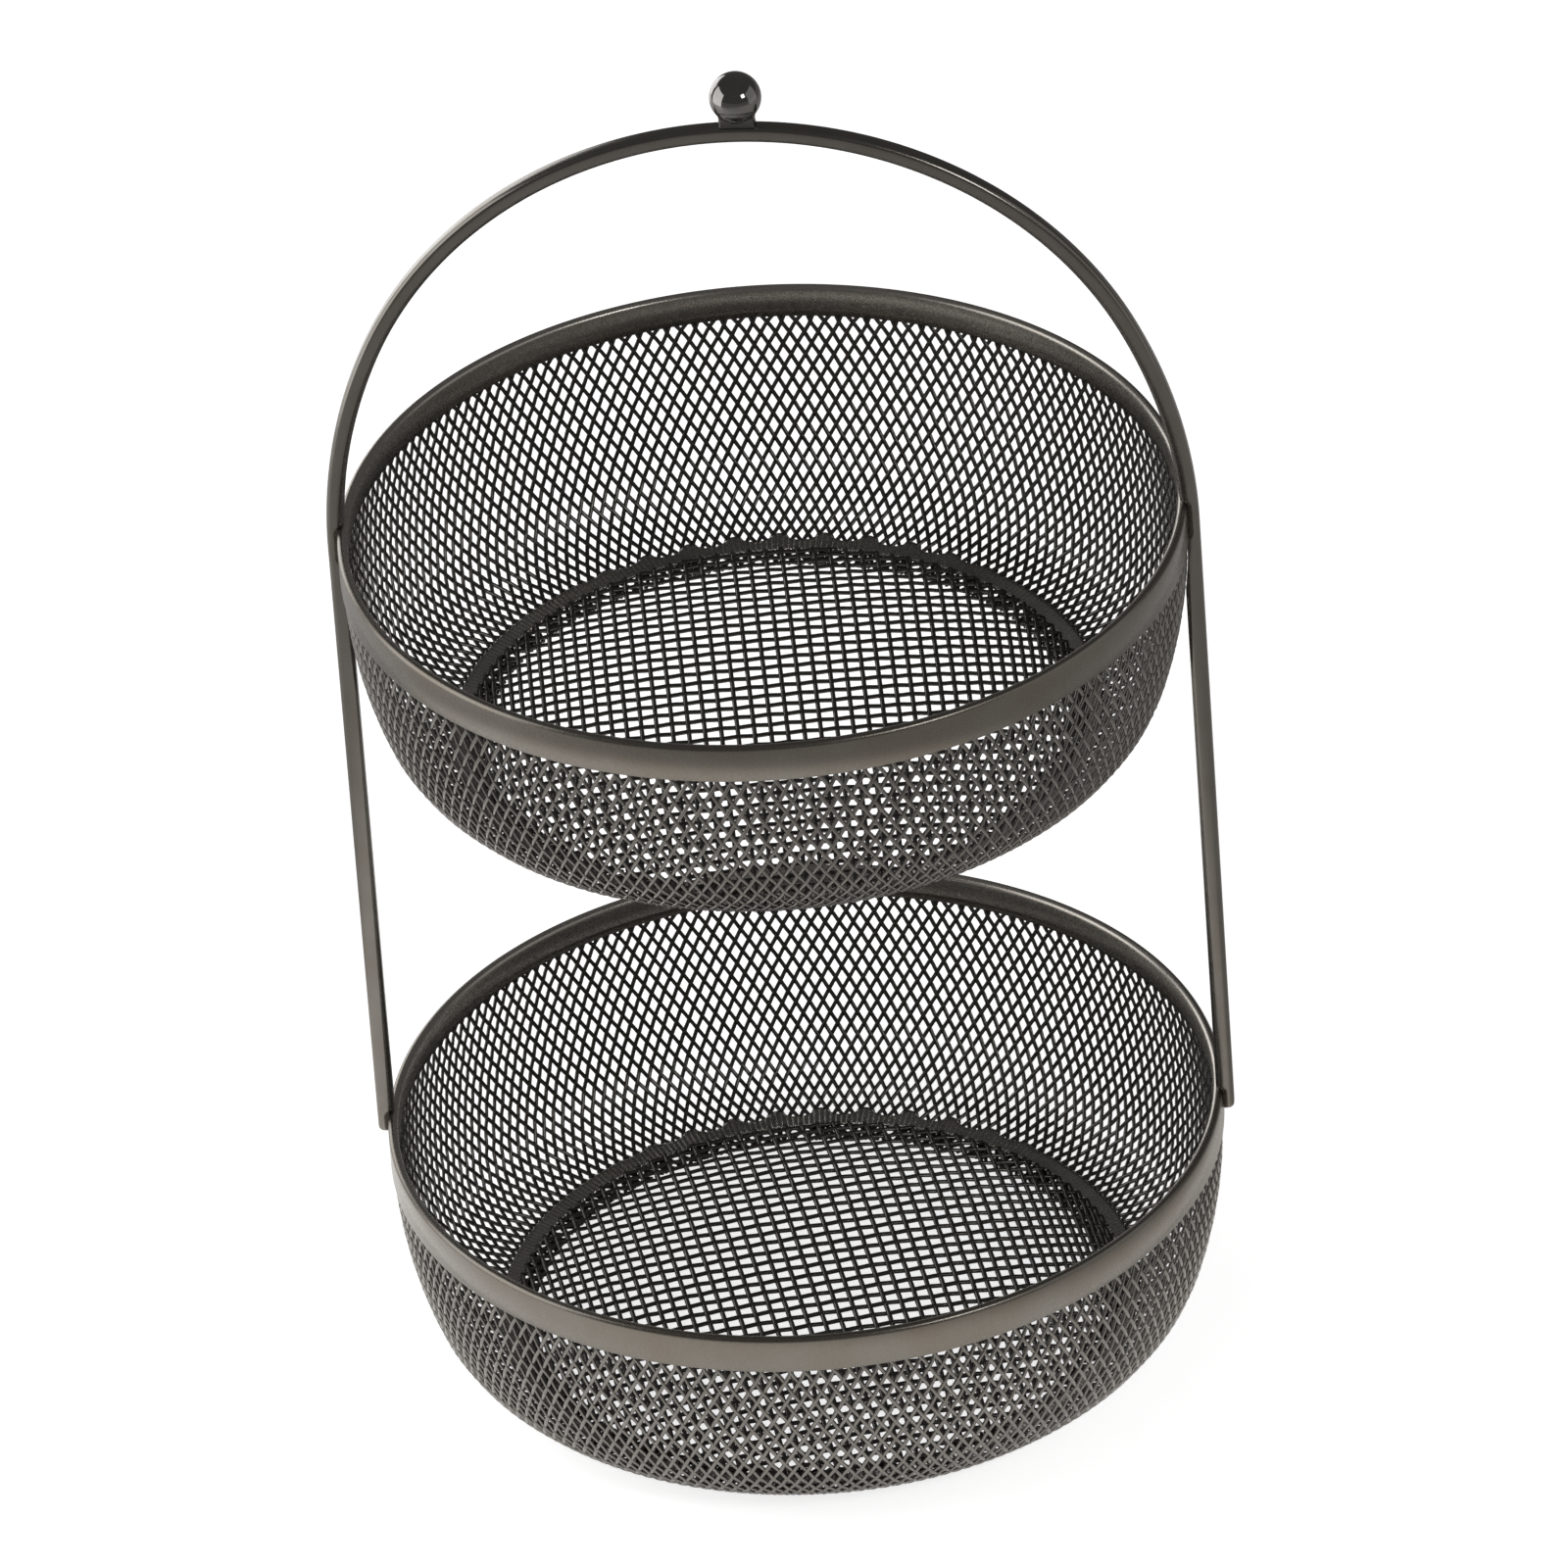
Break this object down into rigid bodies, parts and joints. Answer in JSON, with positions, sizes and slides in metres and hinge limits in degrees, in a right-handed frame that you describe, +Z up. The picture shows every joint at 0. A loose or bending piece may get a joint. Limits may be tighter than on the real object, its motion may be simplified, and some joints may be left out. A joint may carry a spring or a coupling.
{
  "type": "tiered wire basket",
  "caption": "Dark metal two-tier basket: round mesh bowls with rolled rim bands on a bent bar that arches over the top to a ball finial.",
  "frame": {"origin": "on the resting plane, on the common axis of the two bowls, which is the bottom centre of the bounding box", "axes": "+Z up along the axis of the bowls, +X across the arch from upright to upright, -Y towards the picture's viewer"},
  "size_m": [0.269, 0.262, 0.457],
  "materials": {
    "dark_metal": "satin dark bronze lacquer",
    "polished_dark_metal": "gloss dark bronze lacquer",
    "net_wire": "satin dark bronze lacquer on woven wire"
  },
  "bodies": {
    "root": {"handle_bar": "dark_metal", "ball_finial": "polished_dark_metal", "finial_neck": "polished_dark_metal", "finial_stud": "dark_metal", "upper_rim_band": "dark_metal", "upper_hem_strip": "dark_metal", "upper_wall_net": "net_wire", "upper_floor_net": "net_wire", "upper_gutter_ring": "net_wire", "lower_rim_band": "dark_metal", "lower_hem_strip": "dark_metal", "lower_wall_net": "net_wire", "lower_floor_net": "net_wire", "lower_gutter_ring": "net_wire"}
  },
  "joints": []
}
